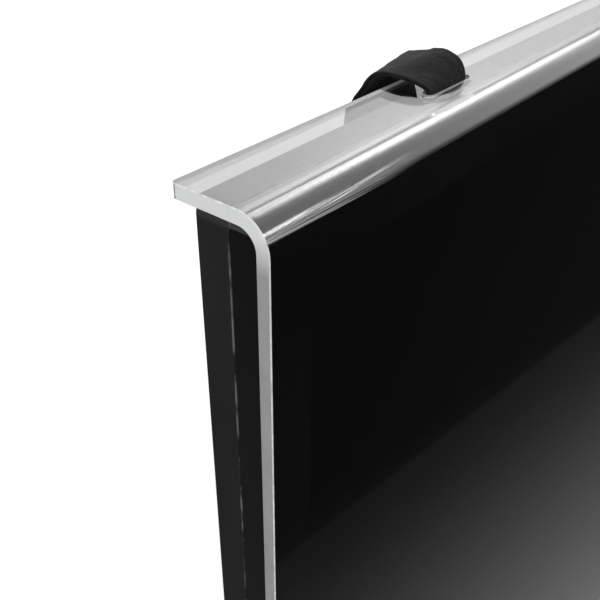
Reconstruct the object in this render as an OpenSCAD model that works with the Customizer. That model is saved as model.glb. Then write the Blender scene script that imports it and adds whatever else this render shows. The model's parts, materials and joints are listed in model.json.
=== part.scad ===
// Clear bent-sheet guard that hangs over the top edge of a flat panel.
// Two hook-and-loop straps pass through slots in its lip and hold it there.
// Frame: +X right seen from the front, +Y to the back, +Z up.
// Origin: centre of the panel's rear bolt pattern, on the raised rear face.

/* [Guard sheet] */
// Width of the clear sheet, end to end
guard_w = 1550; // [900:1:2000]
// Height of the bent sheet, from the lip's top face to the lower edge
guard_h = 870; // [700:1:1200]
// Thickness of the clear sheet
sheet_t = 5; // [3:0.5:8]
// Radius on the inside of the bend
bend_r = 6.5; // [4:0.5:12]
// Depth of the lip, from the sheet's front face to the lip's rear edge
lip_depth = 37; // [32:0.5:60]
// Radius of the lip's two rear corners
lip_corner_r = 2.5; // [1:0.5:6]
// Radius of the sheet's two lower corners
lower_corner_r = 8; // [2:1:30]

/* [Strap slots] */
// Distance of each slot's centre from the sheet's nearer end
slot_inset = 120.7; // [60:0.1:250]
// Distance of the slot's centre line behind the sheet's front face
slot_setback = 21.3; // [19:0.1:24]
// Width of the slot, front to back
slot_w = 4; // [3.2:0.1:4.6]
// Room between the strap's edge and the slot's end
slot_end_gap = 1.5; // [0.5:0.1:4]

/* [Straps] */
// Width of the strap webbing
strap_w = 25; // [15:1:50]
// Thickness of the strap webbing
strap_t = 1.6; // [1:0.1:2.2]
// How far the strap reaches down behind the panel, from the lip's top face
strap_drop = 162; // [130:1:260]
// Length of the loose tail that peels away
tail_len = 76; // [50:1:90]
// Height of the slack loop's centre line over the lip
loop_rise = 5.2; // [3.5:0.1:15]
// Reach of the slack loop behind the slot
loop_reach = 31.3; // [27:0.1:45]
// Thickness of the hook tape sewn to the tail
hook_t = 0.8; // [0.5:0.1:1.5]
// Thickness of the loop pad stuck to the rear cover
pad_t = 1.5; // [0.8:0.1:3]
// How far the pad stands out past the strap on each side
pad_margin = 1.5; // [0:0.5:6]
// Length of each sewn bar on the tail
bar_len = 19; // [10:1:24]
// Height of each sewn bar
bar_h = 2.4; // [1:0.1:5]
// How far the sewn thread stands out of the webbing
thread_t = 0.35; // [0.2:0.05:0.8]

/* [Panel] */
// How far the panel's side stays inside the sheet's end
side_inset = 1.5; // [0:0.1:10]
// How far the panel reaches below the sheet
lower_reveal = 6; // [2:0.5:40]
// Depth of the panel at its edge
panel_depth = 24; // [20:0.5:40]
// Depth of the front bezel, to the seam
bezel_depth = 10.7; // [10:0.1:12]
// Width of the bezel's face round the screen
bezel_w = 20; // [8:1:40]
// Radius of the panel's four corners, seen from the front
panel_corner_r = 4; // [2:0.5:10]
// Wall thickness of bezel and rear cover
wall = 2.5; // [2:0.1:3]
// Radius of the outer rear edge
rear_edge_r = 1.2; // [0.5:0.1:2]
// Easing of the edges that meet at the seam
seam_edge_r = 0.35; // [0.2:0.05:0.8]
// Thickness of the screen glass
glass_t = 2.5; // [2:0.1:2.5]
// Thickness of the foam gasket behind the bezel
gasket_t = 0.5; // [0.3:0.1:1]
// Width of the foam gasket
gasket_w = 12; // [6:1:18]
// Thickness of the screen module
module_t = 5.5; // [4:0.1:6]

/* [Rear cover and mount] */
// Width of the raised field on the rear cover
field_w = 820; // [700:5:860]
// Height of the raised field on the rear cover
field_h = 540; // [500:5:560]
// How far the raised field stands out
field_rise = 12; // [8:0.5:30]
// Horizontal distance between mount holes
mount_x = 400; // [200:50:600]
// Vertical distance between mount holes
mount_z = 400; // [200:50:400]
// Radius of the mount bores
mount_bore_r = 4; // [2.5:0.1:5]
// Radius of the mount bosses
boss_r = 9; // [7:0.5:14]
// Thickness of the steel chassis plate
chassis_t = 0.8; // [0.6:0.1:1.2]
// Thickness of the steel in the chassis rails
rail_t = 1.5; // [1:0.1:2]
// Width of the upright chassis rails
rail_w = 44; // [36:1:60]
// Height of the level chassis rails
cross_rail_h = 32; // [20:1:50]
// Distance of the level chassis rails' centre lines from the panel's top and bottom
cross_rail_inset = 90; // [60:1:110]
// Radius of the cover screws' shanks
screw_r = 1.5; // [1:0.1:2]
// Radius of the cover screws' heads
screw_head_r = 3.2; // [2.5:0.1:4.5]
// Distance of the cover screws from the panel's outline
screw_inset = 16; // [14:0.5:24]
// Screws along each long side
screws_x = 6; // [3:1:9]
// Screws between them along each short side
screws_z = 2; // [1:1:4]

/* [Clearances] */
// Gap between the guard and the panel it hangs on
hang_gap = 0.3; // [0.2:0.05:0.6]
// Gap between pieces that are fitted into each other
fit_gap = 0.2; // [0.1:0.05:0.4]
// Room round the strap in the rear cover's relief
relief_gap = 2; // [1:0.1:4]
// Depth of the relief below the panel's top face
relief_depth = 8.4; // [8:0.1:10]

/* [Hidden] */
$fn = 64;

// Panel outline
panel_w = guard_w - 2 * side_inset;
panel_h = guard_h - sheet_t - hang_gap + lower_reveal;
panel_top = panel_h / 2;

// Depths, from the raised rear face at y = 0 to the front
y_rear = -field_rise;
y_bezel = y_rear - panel_depth;
y_seam = y_bezel + bezel_depth;
y_sheet_back = y_bezel - hang_gap;
y_sheet_front = y_sheet_back - sheet_t;
y_glass_back = y_bezel + glass_t;
y_gasket = y_bezel + wall;
y_module = y_gasket + gasket_t;
y_chassis = y_module + module_t;
y_chassis_back = y_chassis + chassis_t;
y_cover_inside = y_rear - wall;
y_field_inside = -wall;

// Guard heights
z_lip_under = panel_top + hang_gap;
z_lip_top = z_lip_under + sheet_t;
z_sheet_low = z_lip_top - guard_h;
bend_r_out = bend_r + sheet_t;

// The bezel's upper front edge follows the inside of the bend
bezel_top_r = bend_r - hang_gap;
bezel_edge_r = 1.5;

// Strap places
strap_x = guard_w / 2 - slot_inset;
y_slot = y_sheet_front + slot_setback;
y_anchor = y_rear + pad_t + hang_gap + strap_t / 2;
y_tail = y_anchor + strap_t + hang_gap + hook_t;
z_strap_end = z_lip_top - strap_drop;
z_hinge = z_strap_end + tail_len;
knuckle_gap = 0.6;
relief_w = strap_w + 2 * relief_gap;
y_relief = y_slot - slot_w / 2 - 0.5;
z_relief = panel_top - relief_depth;
patch_top_gap = 6;
patch_end_gap = 1.5;

// Screws round the cover
screw_span = [panel_w - 2 * screw_inset, panel_h - 2 * screw_inset];
screw_head_t = 1.6;
screw_places = concat(
    [for (i = [0 : screws_x - 1], s = [-1, 1])
        [screw_span.x * (i / (screws_x - 1) - 0.5), s * screw_span.y / 2]],
    [for (i = [1 : screws_z], s = [-1, 1])
        [s * screw_span.x / 2, screw_span.y * (i / (screws_z + 1) - 0.5)]]
);
standoff_r = 4;
mount_places = [for (sx = [-1, 1], sz = [-1, 1]) [sx * mount_x / 2, sz * mount_z / 2]];

// ---- Plane outlines and the ways they are drawn out ----

// A YZ outline drawn out along X, centred
module along_x(length) {
    rotate([90, 0, 90]) linear_extrude(length, center = true) children();
}

// An XZ outline drawn out along Y, from y0 to y1
module along_y(y0, y1) {
    translate([0, y1, 0]) rotate([90, 0, 0]) linear_extrude(y1 - y0) children();
}

// A rectangle between two corners with a radius at each corner, in the order
// low-low, high-low, high-high, low-high
module eased_rect(lo, hi, radii) {
    ends = [lo, [hi.x, lo.y], hi, [lo.x, hi.y]];
    signs = [[1, 1], [-1, 1], [-1, -1], [1, -1]];
    difference() {
        translate(lo) square(hi - lo);
        for (i = [0 : 3]) if (radii[i] > 0)
            translate(ends[i]) scale_sign(signs[i]) corner_waste(radii[i]);
    }
}

// What a corner of this radius takes off a square corner at the origin
module corner_waste(r) {
    difference() {
        translate([-1, -1]) square(r + 1);
        translate([r, r]) circle(r);
    }
}

// Mirrors a plane shape so that it opens towards the given signs
module scale_sign(s) {
    mirror([s.x < 0 ? 1 : 0, 0]) mirror([0, s.y < 0 ? 1 : 0]) children();
}

// A panel-wide slab from y0 to y1. front and back are its edge radii,
// and top_front is the radius of its upper front edge.
module eased_slab(y0, y1, top_front, front, back) {
    half = [panel_w, panel_h] / 2;
    intersection() {
        along_x(panel_w)
            eased_rect([y0, -half.y], [y1, half.y], [front, back, back, top_front]);
        translate([0, 0, -half.y]) linear_extrude(panel_h)
            eased_rect([-half.x, y0], [half.x, y1], [front, front, back, back]);
        along_y(y0, y1)
            eased_rect(-half, half, [for (i = [0 : 3]) panel_corner_r]);
    }
}

// A plain block centred on X and Z, from y0 to y1
module block(w, h, y0, y1) {
    translate([-w / 2, y0, -h / 2]) cube([w, y1 - y0, h]);
}

// A cylinder along Y at [x, z], from y0 to y1
module peg(place, r, y0, y1) {
    translate([place.x, y1, place.y]) rotate([90, 0, 0]) cylinder(r = r, h = y1 - y0);
}

// ---- Strap route, in the YZ plane ----

function bezier(p, t) =
    pow(1 - t, 3) * p[0] + 3 * pow(1 - t, 2) * t * p[1]
    + 3 * (1 - t) * t * t * p[2] + t * t * t * p[3];
function curve(p, n) = [for (i = [1 : n]) bezier(p, i / n)];

// The strap rises behind the panel, crosses under the lip, comes up through
// the slot, and falls behind the lip in a slack loop
crest = [y_slot + 0.4 * loop_reach, z_lip_top + loop_rise];
back = [y_slot + loop_reach, z_lip_top - 13.5];
loop_end = [y_tail, z_hinge + strap_t / 2 + knuckle_gap];
under_lip = [
    [y_anchor, panel_top - 11.2], [y_anchor, panel_top - 2.7],
    [y_slot, panel_top - 7.2], [y_slot, panel_top + 1.3]
];
over_lip = [
    [y_slot, z_lip_top + 0.5], [y_slot, z_lip_top + 0.95 * loop_rise],
    [y_slot + 0.18 * loop_reach, z_lip_top + 1.1 * loop_rise], crest
];
falling = [
    crest, [y_slot + 0.69 * loop_reach, z_lip_top + 0.83 * loop_rise],
    [y_slot + 0.965 * loop_reach, z_lip_top + 1.5], back
];
closing = [
    back, [y_slot + 1.04 * loop_reach, z_lip_top - 31.5],
    [y_tail, z_hinge + 30], loop_end
];
strap_route = concat(
    [[y_anchor, z_strap_end], under_lip[0]], curve(under_lip, 14),
    [over_lip[0]], curve(over_lip, 10), curve(falling, 12), curve(closing, 14)
);

// One side of a route, moved out by half the thickness along its normals
function side_at(route, i, d) =
    let (last = len(route) - 1,
         step = route[min(i + 1, last)] - route[max(i - 1, 0)],
         unit = step / norm(step))
    route[i] + d * [-unit.y, unit.x];
function ribbon(route, t) = concat(
    [for (i = [0 : len(route) - 1]) side_at(route, i, t / 2)],
    [for (i = [len(route) - 1 : -1 : 0]) side_at(route, i, -t / 2)]
);

// ---- Guard ----

module slot_outline() {
    straight = strap_w + 2 * slot_end_gap - slot_w;
    square([straight, slot_w], center = true);
    for (s = [-1, 1]) translate([s * straight / 2, 0]) circle(slot_w / 2);
}

module guard_sheet() {
    low = [y_sheet_front, z_sheet_low];
    y_lip_end = y_sheet_front + lip_depth;
    bend = [y_sheet_front + bend_r_out, z_lip_top - bend_r_out];
    half = guard_w / 2;
    color([0.86, 0.88, 0.88, 0.45]) difference() {
        along_x(guard_w) {
            translate(low) square([sheet_t, bend.y - low.y]);
            translate([bend.x, z_lip_under]) square([y_lip_end - bend.x, sheet_t]);
            intersection() {
                translate(bend) difference() {
                    circle(bend_r_out);
                    circle(bend_r);
                }
                translate([y_sheet_front, bend.y]) square(bend_r_out);
            }
        }
        for (s = [-1, 1]) {
            translate([s * strap_x, y_slot, z_lip_under - 1])
                linear_extrude(sheet_t + 2) slot_outline();
            translate([s * half, y_lip_end, z_lip_under - 1]) linear_extrude(sheet_t + 2)
                scale_sign([-s, -1]) corner_waste(lip_corner_r);
            along_y(y_sheet_front - 1, y_sheet_back + 1)
                translate([s * half, z_sheet_low])
                    scale_sign([-s, 1]) corner_waste(lower_corner_r);
        }
    }
}

// ---- Straps: side is -1 on the left and 1 on the right ----

module on_strap(side) {
    translate([side * strap_x, 0, 0]) children();
}

module strap_loop(side) {
    color([0.09, 0.09, 0.1]) on_strap(side)
        along_x(strap_w) polygon(ribbon(strap_route, strap_t));
}

module strap_tail(side) {
    color([0.11, 0.11, 0.12]) on_strap(side) along_x(strap_w) {
        translate([y_tail - strap_t / 2, z_strap_end]) square([strap_t, tail_len]);
        translate([y_tail, z_hinge]) circle(strap_t / 2);
    }
}

module hook_patch(side) {
    h = tail_len - patch_top_gap - patch_end_gap;
    color([0.16, 0.16, 0.17]) on_strap(side)
        translate([-strap_w / 2 + 0.5, y_tail - strap_t / 2 - hook_t, z_strap_end + patch_end_gap])
            cube([strap_w - 1, hook_t, h]);
}

module tail_stitching(side) {
    bars = [z_strap_end + patch_end_gap + 3, z_hinge - patch_top_gap - 3 - bar_h];
    color([0.2, 0.2, 0.21]) on_strap(side)
        for (z = bars) translate([-bar_len / 2, y_tail + strap_t / 2, z])
            cube([bar_len, thread_t, bar_h]);
}

module loop_pad(side) {
    color([0.07, 0.07, 0.08]) on_strap(side)
        translate([-strap_w / 2 - pad_margin, y_rear, z_strap_end - pad_margin])
            cube([strap_w + 2 * pad_margin, pad_t, tail_len + 2 * pad_margin]);
}

// ---- Panel ----

module front_bezel() {
    opening = [panel_w, panel_h] - 2 * [bezel_w, bezel_w];
    color([0.05, 0.05, 0.055]) difference() {
        eased_slab(y_bezel, y_seam, bezel_top_r, bezel_edge_r, seam_edge_r);
        block(opening.x, opening.y, y_bezel - 1, y_seam + 1);
        block(panel_w - 2 * wall, panel_h - 2 * wall, y_gasket, y_seam + 1);
    }
}

module screen_glass() {
    margin = 2 * (bezel_w + fit_gap);
    color([0.02, 0.02, 0.025]) block(panel_w - margin, panel_h - margin, y_bezel, y_glass_back);
}

module screen_gasket() {
    margin = 2 * (wall + fit_gap);
    outer = [panel_w - margin, panel_h - margin];
    color([0.12, 0.12, 0.12]) difference() {
        block(outer.x, outer.y, y_gasket, y_module);
        block(outer.x - 2 * gasket_w, outer.y - 2 * gasket_w, y_gasket - 1, y_module + 1);
    }
}

module screen_module() {
    margin = 2 * (wall + 2 * fit_gap);
    color([0.72, 0.73, 0.75]) block(panel_w - margin, panel_h - margin, y_module, y_chassis);
}

module chassis_plate() {
    margin = 2 * (wall + 3 * fit_gap);
    color([0.62, 0.64, 0.66]) block(panel_w - margin, panel_h - margin, y_chassis, y_chassis_back);
}

// A channel that opens to the front, as deep as from the plate to y_back
module channel(w, h, y_back) {
    difference() {
        block(w, h, y_chassis_back, y_back);
        block(w - 2 * rail_t, h + 2, y_chassis_back - 1, y_back - rail_t);
    }
}

y_boss_foot = y_field_inside - 6;

module chassis_rail(side) {
    color([0.66, 0.68, 0.7]) translate([side * mount_x / 2, 0, 0])
        channel(rail_w, mount_z + 3 * boss_r, y_boss_foot);
}

module cross_rail(side) {
    long = panel_w - 6 * screw_inset;
    color([0.66, 0.68, 0.7]) translate([0, 0, side * (panel_top - cross_rail_inset)]) rotate([0, 90, 0])
        channel(cross_rail_h, long, y_cover_inside - fit_gap);
}

module mount_bosses() {
    color([0.75, 0.72, 0.6]) for (p = mount_places) difference() {
        peg(p, boss_r, y_boss_foot, 0);
        peg(p, mount_bore_r, y_boss_foot - 1, 1);
    }
}

module cover_standoffs() {
    color([0.7, 0.71, 0.72]) for (p = screw_places) difference() {
        peg(p, standoff_r, y_chassis_back, y_cover_inside);
        peg(p, screw_r + fit_gap / 4, y_chassis_back - 1, y_cover_inside + 1);
    }
}

module cover_screws() {
    color([0.3, 0.3, 0.32]) for (p = screw_places) {
        peg(p, screw_r, y_chassis_back + 1, y_rear);
        difference() {
            peg(p, screw_head_r, y_rear, y_rear + screw_head_t);
            peg(p, 1.1, y_rear + 0.6, y_rear + screw_head_t + 1);
        }
    }
}

// The raised field: a box with sides that slope at 45 degrees, shrunk by inset
module field(inset, y0, y1) {
    w = field_w / 2 - inset;
    h = field_h / 2 - inset;
    rise = y1 - y0;
    intersection() {
        translate([0, 0, -h]) linear_extrude(2 * h)
            polygon([[-w, y0], [w, y0], [w - rise, y1], [-w + rise, y1]]);
        along_x(2 * w) polygon([[y0, -h], [y0, h], [y1, h - rise], [y1, -h + rise]]);
    }
}

module rear_cover() {
    inside = [panel_w, panel_h] - 2 * [wall, wall];
    pocket_wall = y_relief - y_seam - 0.1;
    color([0.13, 0.13, 0.14]) difference() {
        union() {
            difference() {
                union() {
                    eased_slab(y_seam, y_rear, seam_edge_r, seam_edge_r, rear_edge_r);
                    field(0, y_rear - 0.01, 0);
                }
                block(inside.x, inside.y, y_seam - 1, y_cover_inside);
                field(wall, y_cover_inside - 0.01, y_field_inside);
            }
            for (s = [-1, 1]) on_strap(s)
                translate([-relief_w / 2 - wall, y_relief - pocket_wall, z_relief - wall])
                    cube([relief_w + 2 * wall, y_cover_inside - y_relief + pocket_wall + 0.01,
                          relief_depth + 0.01]);
        }
        for (s = [-1, 1]) on_strap(s) translate([-relief_w / 2, y_relief, z_relief])
            cube([relief_w, panel_depth, relief_depth + 1]);
        for (p = mount_places) peg(p, boss_r + fit_gap, y_field_inside - 1, 1);
        for (p = screw_places) peg(p, screw_r + fit_gap, y_cover_inside - 1, y_rear + 1);
    }
}

guard_sheet();
strap_loop(-1);  // strap_loop_left
strap_loop(1);  // strap_loop_right
strap_tail(-1);  // strap_tail_left
strap_tail(1);  // strap_tail_right
hook_patch(-1);  // hook_patch_left
hook_patch(1);  // hook_patch_right
tail_stitching(-1);  // tail_stitching_left
tail_stitching(1);  // tail_stitching_right
loop_pad(-1);  // loop_pad_left
loop_pad(1);  // loop_pad_right
front_bezel();
screen_glass();
screen_gasket();
screen_module();
chassis_plate();
chassis_rail(-1);  // chassis_rail_left
chassis_rail(1);  // chassis_rail_right
cross_rail(1);  // chassis_rail_upper
cross_rail(-1);  // chassis_rail_lower
mount_bosses();
cover_standoffs();
cover_screws();
rear_cover();
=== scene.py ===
"""Clear bent guard sheet strapped over the top edge of a flat black panel.

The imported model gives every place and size. This script adds the polished sheet,
the hook-and-loop straps and their small pieces, the finishes and the stage.
"""

import json
import math

import bmesh
import bpy
import numpy as np
from mathutils import Matrix, Vector


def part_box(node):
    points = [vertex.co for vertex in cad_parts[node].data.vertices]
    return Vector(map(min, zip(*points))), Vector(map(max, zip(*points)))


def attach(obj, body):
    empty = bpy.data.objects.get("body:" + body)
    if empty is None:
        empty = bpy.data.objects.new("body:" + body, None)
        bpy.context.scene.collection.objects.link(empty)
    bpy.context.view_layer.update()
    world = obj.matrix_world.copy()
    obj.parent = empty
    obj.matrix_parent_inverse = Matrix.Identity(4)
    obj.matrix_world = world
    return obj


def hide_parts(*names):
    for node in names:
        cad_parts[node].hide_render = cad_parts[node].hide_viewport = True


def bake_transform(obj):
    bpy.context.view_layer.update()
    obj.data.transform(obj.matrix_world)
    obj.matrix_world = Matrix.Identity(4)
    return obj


bl_info = {
    "name": "Guard Sheet on a Panel",
    "version": (1, 0, 0),
    "blender": (4, 5, 0),
    "location": "View3D > Sidebar > Guard",
    "description": "Builds the clear sheet, straps, finishes and stage round the packed panel",
    "category": "Add Mesh",
}

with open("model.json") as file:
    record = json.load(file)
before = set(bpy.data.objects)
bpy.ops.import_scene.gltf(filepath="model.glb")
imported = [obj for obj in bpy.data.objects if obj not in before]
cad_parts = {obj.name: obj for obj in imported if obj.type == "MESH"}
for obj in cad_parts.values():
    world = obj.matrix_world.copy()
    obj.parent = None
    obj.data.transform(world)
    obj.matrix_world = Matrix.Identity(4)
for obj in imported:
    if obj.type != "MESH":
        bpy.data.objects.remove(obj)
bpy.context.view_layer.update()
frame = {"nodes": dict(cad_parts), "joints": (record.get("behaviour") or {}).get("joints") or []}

MM = 0.001
SIDES = {"left": -1, "right": 1}


# ---------------------------------------------------------------- places from the frame

def corners(node):
    """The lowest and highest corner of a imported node, as two numpy arrays."""
    low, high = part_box(node)
    return np.array(low), np.array(high)


SHEET_LOW, SHEET_HIGH = corners("guard_sheet")
PANEL_LOW = corners("front_bezel")[0]
PANEL_HIGH = corners("rear_cover")[1]
# The sheet's lip hangs this far above the panel's top.
HANG_GAP = 0.3 * MM
SHEET_T = SHEET_HIGH[2] - PANEL_HIGH[2] - HANG_GAP
LIP_TOP = SHEET_HIGH[2]
# The bend's inside radius and the height of its centre.
BEND_R = 6.5 * MM
BEND_Z = float(LIP_TOP - BEND_R - SHEET_T)
SHEET_FRONT = float(SHEET_LOW[1])
SHEET_END = float(SHEET_HIGH[0])


def strap_x(side):
    """The middle of one strap across the panel."""
    low, high = corners(f"strap_loop_{side}")
    return (low[0] + high[0]) / 2


def hinge_place(side):
    """A point on the hinge about which one strap's loose end peels."""
    joint = next(j for j in frame["joints"] if j["name"] == f"tail_{side}_peel")
    return np.array(joint["pos_m"])


STRAP_W = np.ptp([c[0] for c in corners("strap_tail_left")])
STRAP_T = np.ptp([c[1] for c in corners("strap_tail_left")])
SLOT_Y = corners("strap_loop_left")[0][1] + STRAP_T / 2


# ---------------------------------------------------------------- meshes from arrays

def make_object(name, verts, faces, smooth=True):
    """An object at the origin from an array of points and a list of faces."""
    mesh = bpy.data.meshes.new(name)
    mesh.from_pydata(np.asarray(verts, float).tolist(), [], [list(map(int, f)) for f in faces])
    mesh.update()
    mesh.validate()
    mesh.polygons.foreach_set("use_smooth", np.full(len(mesh.polygons), smooth))
    thing = bpy.data.objects.new(name, mesh)
    bpy.context.scene.collection.objects.link(thing)
    return thing


def grid_faces(rows, columns, around=False):
    """Quads of a grid of points, rows by columns. around joins the last column to the first."""
    index = np.arange(rows * columns).reshape(rows, columns)
    right = np.roll(index, -1, axis=1)
    if not around:
        index, right = index[:, :-1], right[:, :-1]
    return np.stack([index[:-1], right[:-1], right[1:], index[1:]], axis=-1).reshape(-1, 4)


def closed_tubes(rings):
    """Points and faces of many closed tubes at once, from their rings by tube, ring and point."""
    count, points, sides = rings.shape[:3]
    one = grid_faces(points, sides, around=True)
    base = (np.arange(count) * points * sides)[:, None, None]
    walls = (one[None] + base).reshape(-1, 4)
    low = np.arange(sides)[::-1][None] + base[:, 0]
    high = np.arange(points * sides - sides, points * sides)[None] + base[:, 0]
    return rings.reshape(-1, 3), walls.tolist() + low.tolist() + high.tolist()


def face_outwards(thing):
    """Turns the faces of a closed mesh outwards."""
    work = bmesh.new()
    work.from_mesh(thing.data)
    bmesh.ops.recalc_face_normals(work, faces=work.faces)
    work.to_mesh(thing.data)
    work.free()
    thing.data.update()


def apply_modifiers(thing):
    """Replaces the mesh by what its modifiers make of it."""
    bpy.context.view_layer.update()
    shaped = thing.evaluated_get(bpy.context.evaluated_depsgraph_get())
    mesh = bpy.data.meshes.new_from_object(shaped)
    thing.modifiers.clear()
    old, thing.data = thing.data, mesh
    bpy.data.meshes.remove(old)


def stacked(rings, heights, place):
    """A closed body: plane rings, each at its height, joined and capped. place lays a ring in
    space."""
    count = len(rings[0])
    verts = np.vstack([place(ring, h) for ring, h in zip(rings, heights)])
    faces = grid_faces(len(rings), count, around=True).tolist()
    faces += [list(range(count))[::-1], list(range(count * (len(rings) - 1), count * len(rings)))]
    return verts, faces


def in_plan(p, z):
    """Plane points laid level at a height."""
    return np.column_stack([p, np.full(len(p), z)])


def in_front_view(p, y):
    """Plane points stood upright at a depth."""
    return np.column_stack([p[:, 0], np.full(len(p), y), p[:, 1]])


def join_parts(parts):
    """One set of points and faces from several."""
    verts, faces, start = [], [], 0
    for points, polygons in parts:
        verts.append(points)
        faces += [[start + i for i in f] for f in polygons]
        start += len(points)
    return np.vstack(verts), faces


def rounded_rect(centre, size, r, steps=8):
    """A closed plane outline: a rectangle whose corners are quarter circles."""
    turn = np.linspace(0, math.pi / 2, steps)
    half = np.asarray(size) / 2 - r
    out = [half * [sx, sy] + r * np.column_stack([np.cos(turn + q), np.sin(turn + q)])
           for q, (sx, sy) in zip(np.arange(4) * math.pi / 2, [(1, 1), (-1, 1), (-1, -1), (1, -1)])]
    return np.asarray(centre) + np.vstack(out)


def soft_noise(shape, cells, seed):
    """Smooth noise from -1 to 1 on a grid: random numbers on a coarse grid of cells, blended
    between neighbours with a smooth step along each side."""
    rng = np.random.default_rng(seed)
    coarse = rng.uniform(-1, 1, (cells[0] + 2, cells[1] + 2))
    out = coarse
    for axis, (size, count) in enumerate(zip(shape, cells)):
        at = np.linspace(0, count, size)
        low = np.floor(at).astype(int)
        part = at - low
        part = part * part * (3 - 2 * part)
        a, b = np.take(out, low, axis), np.take(out, low + 1, axis)
        part = part.reshape([-1 if i == axis else 1 for i in range(2)])
        out = a + (b - a) * part
    return out


def length(name, description, default, low=0.0):
    """A setting in metres, for a piece's size."""
    return bpy.props.FloatProperty(name=name, description=description, default=default, min=low,
                                   unit="LENGTH", precision=5)


def brightness(name, description, default):
    """A setting for how bright a part of the surround is."""
    return bpy.props.FloatProperty(name=name, description=description, default=default, min=0)


# ---------------------------------------------------------------- clear sheet

# The share of a cut end's width that its border, painted as a bright highlight line, takes on each
# side.
BORDER_SHARE = 0.085


def sheet_outline(thickness, bend_r, chamfer, steps=36):
    """The sheet's cross-section in Y and Z as two rows of points, outer and inner, that lie
    opposite each other: a straight leg, a quarter circle about the bend's centre, a straight
    lip, and a chamfer at each end."""
    y0, z0 = SHEET_LOW[1:]
    y1, z1 = SHEET_HIGH[1:]
    outer_r = bend_r + thickness
    centre = np.array([y0 + outer_r, z1 - outer_r])
    turn = np.linspace(0, math.pi / 2, steps)
    arc = np.column_stack([-np.cos(turn), np.sin(turn)])
    outer = np.vstack([
        [[y0 + chamfer, z0], [y0, z0 + chamfer]],
        centre + outer_r * arc,
        [[y1 - chamfer, z1], [y1, z1 - chamfer]],
    ])
    inner = np.vstack([
        [[y0 + thickness - chamfer, z0], [y0 + thickness, z0 + chamfer]],
        centre + bend_r * arc,
        [[y1 - chamfer, z1 - thickness], [y1, z1 - thickness + chamfer]],
    ])
    return outer, inner


def inset_loop(loop, distance):
    """A closed plane loop moved inwards by a distance, each point along its mitre."""
    step = np.roll(loop, -1, axis=0) - loop
    step /= np.linalg.norm(step, axis=1, keepdims=True)
    normal = np.column_stack([step[:, 1], -step[:, 0]])
    before = np.roll(normal, 1, axis=0)
    mitre = (normal + before) / (1 + np.sum(normal * before, axis=1, keepdims=True))
    return loop + distance * mitre


def stadium(length, width, steps=20):
    """A slot's outline: two half circles joined by straight sides."""
    half = (length - width) / 2
    turn = np.linspace(-math.pi / 2, math.pi / 2, steps)
    end = np.column_stack([half + width / 2 * np.cos(turn), width / 2 * np.sin(turn)])
    return np.vstack([end, -end])


def corner_waste(r, over):
    """What a rounded corner takes off a square one at the origin: a square less a quarter disc."""
    turn = np.linspace(1.5 * math.pi, math.pi, 14)
    arc = r + r * np.column_stack([np.cos(turn), np.sin(turn)])
    return np.vstack([[[-over, -over], [r, -over]], arc, [[-over, r]]])


def cutters(settings):
    """The bodies that are taken off the sheet: two slots with eased rims and four corners."""
    z_top, z_under = LIP_TOP, LIP_TOP - SHEET_T
    ease, over = settings.chamfer, 1 * MM
    parts = []
    for side, sign in SIDES.items():
        middle = np.array([strap_x(side), SLOT_Y])
        grow = [ease + over, 0, 0, ease + over]
        rings = [stadium(settings.slot_length + 2 * g, settings.slot_width + 2 * g) for g in grow]
        heights = [z_under - over, z_under + ease, z_top - ease, z_top + over]
        parts.append(stacked([ring + middle for ring in rings], heights, in_plan))
        end = sign * SHEET_HIGH[0]
        lip = corner_waste(settings.lip_corner, over) * [-sign, -1] + [end, SHEET_HIGH[1]]
        parts.append(stacked([lip] * 2, [z_under - over, z_top + over], in_plan))
        foot = corner_waste(settings.foot_corner, over) * [-sign, 1] + [end, SHEET_LOW[2]]
        y_pair = [SHEET_LOW[1] - over, SHEET_LOW[1] + SHEET_T + over]
        parts.append(stacked([foot] * 2, y_pair, in_front_view))
    return join_parts(parts)


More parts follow.
